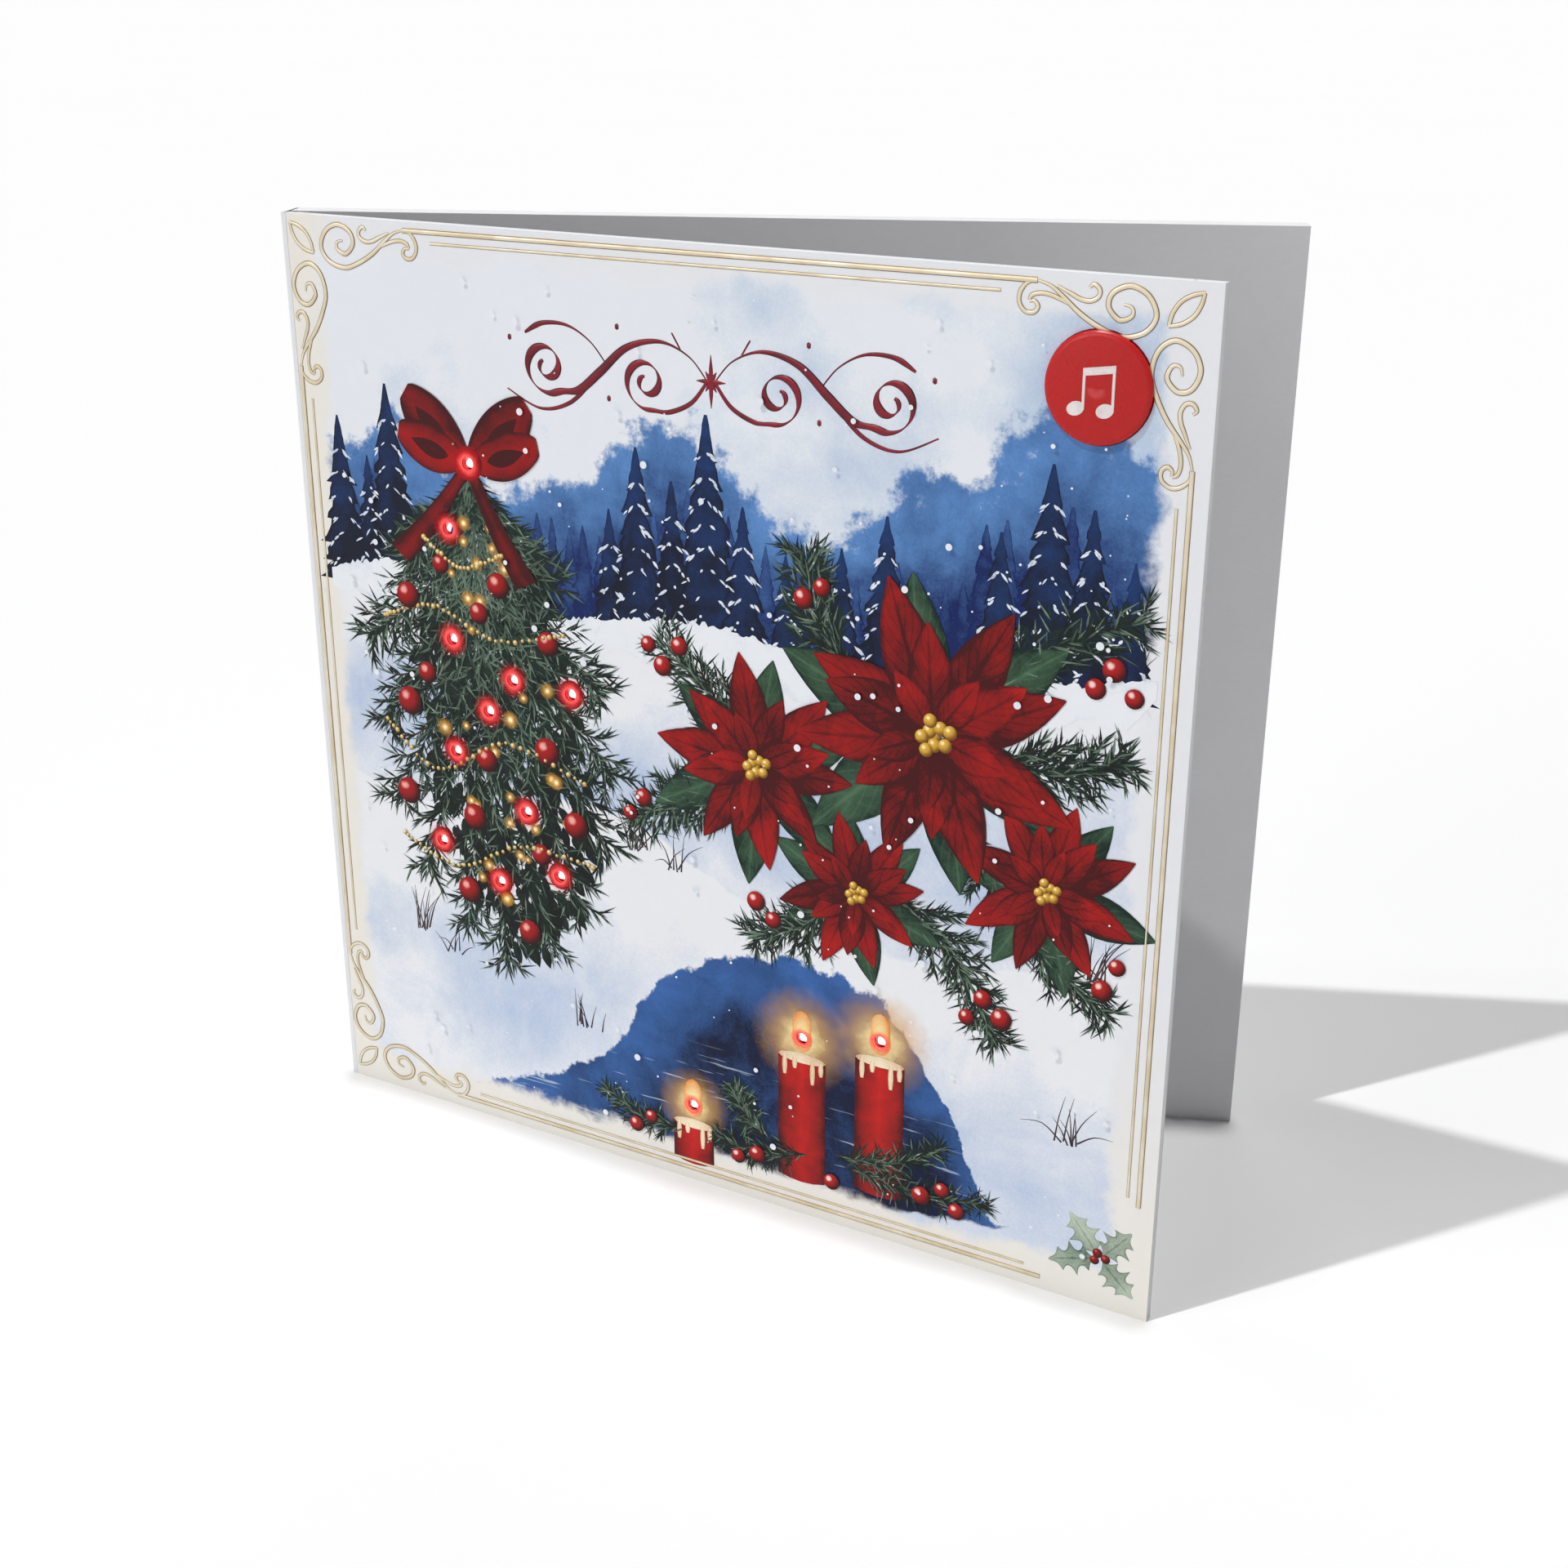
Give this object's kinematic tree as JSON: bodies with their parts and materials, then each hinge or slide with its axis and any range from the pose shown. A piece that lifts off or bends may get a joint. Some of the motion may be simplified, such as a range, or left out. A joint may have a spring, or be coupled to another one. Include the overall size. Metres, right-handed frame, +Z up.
{
  "type": "sound greeting card",
  "caption": "Square greeting card standing open, with a push button, small lamps behind the front sheet and a hidden sound module.",
  "frame": {"origin": "middle of the footprint, on the surface that the card stands on", "axes": "+Z up; the front leaf stands in an XZ plane with the fold at its -X side and its picture facing -Y; the back leaf stands behind it, turned 22.5 degrees about the fold"},
  "size_m": [0.1522, 0.0664, 0.15],
  "materials": {
    "printed_card": "matte",
    "card": "matte",
    "lining_card": "matte",
    "foam": "matte",
    "board": "satin",
    "resin": "satin",
    "capacitor_can": "satin",
    "black_plastic": "matte",
    "steel": "satin",
    "contact_metal": "satin",
    "cone_film": "matte",
    "wire_coat": "satin",
    "ribbon": "satin",
    "lamp_white": "satin",
    "lamp_red": "gloss",
    "tape": "gloss",
    "button_red": "gloss"
  },
  "bodies": {
    "back_leaf": {"back_cover": "card", "back_pad": "foam", "back_lining": "lining_card", "board_pad": "foam", "circuit_board": "board", "chip_blob": "resin", "resistors": "resin", "capacitor": "capacitor_can", "transistor": "resin", "speaker_gasket": "foam", "speaker_basket": "black_plastic", "speaker_magnet": "steel", "speaker_cone": "cone_film", "speaker_leads": "wire_coat", "battery_tray": "black_plastic", "cells": "steel", "cell_contacts": "contact_metal", "battery_leads": "wire_coat", "back_ribbon": "ribbon"},
    "front_leaf": {"front_cover": "printed_card", "front_strips": "foam", "front_lining": "lining_card", "lamp_boards": "board", "lamp_bodies": "lamp_white", "lamp_lenses": "lamp_red", "lamp_wires": "wire_coat", "wire_tapes": "tape", "terminal_board": "board", "front_ribbon": "ribbon", "switch_board": "board", "switch_ring": "foam", "snap_dome": "steel", "switch_leads": "wire_coat"},
    "button": {"button_cap": "button_red"}
  },
  "joints": [
    {"name": "card_fold", "type": "hinge", "parent": "back_leaf", "child": "front_leaf", "pos_m": [-0.07387, -0.03216, 0.075], "axis": [0, 0, -1], "range_deg": [-22.5, 157.5]},
    {"name": "button_press", "type": "slide", "parent": "front_leaf", "child": "button", "axis": [0, 1, 0], "range_m": [0, 0.00025], "stiffness_N_per_m": 4000, "deforming": ["snap_dome"]}
  ]
}
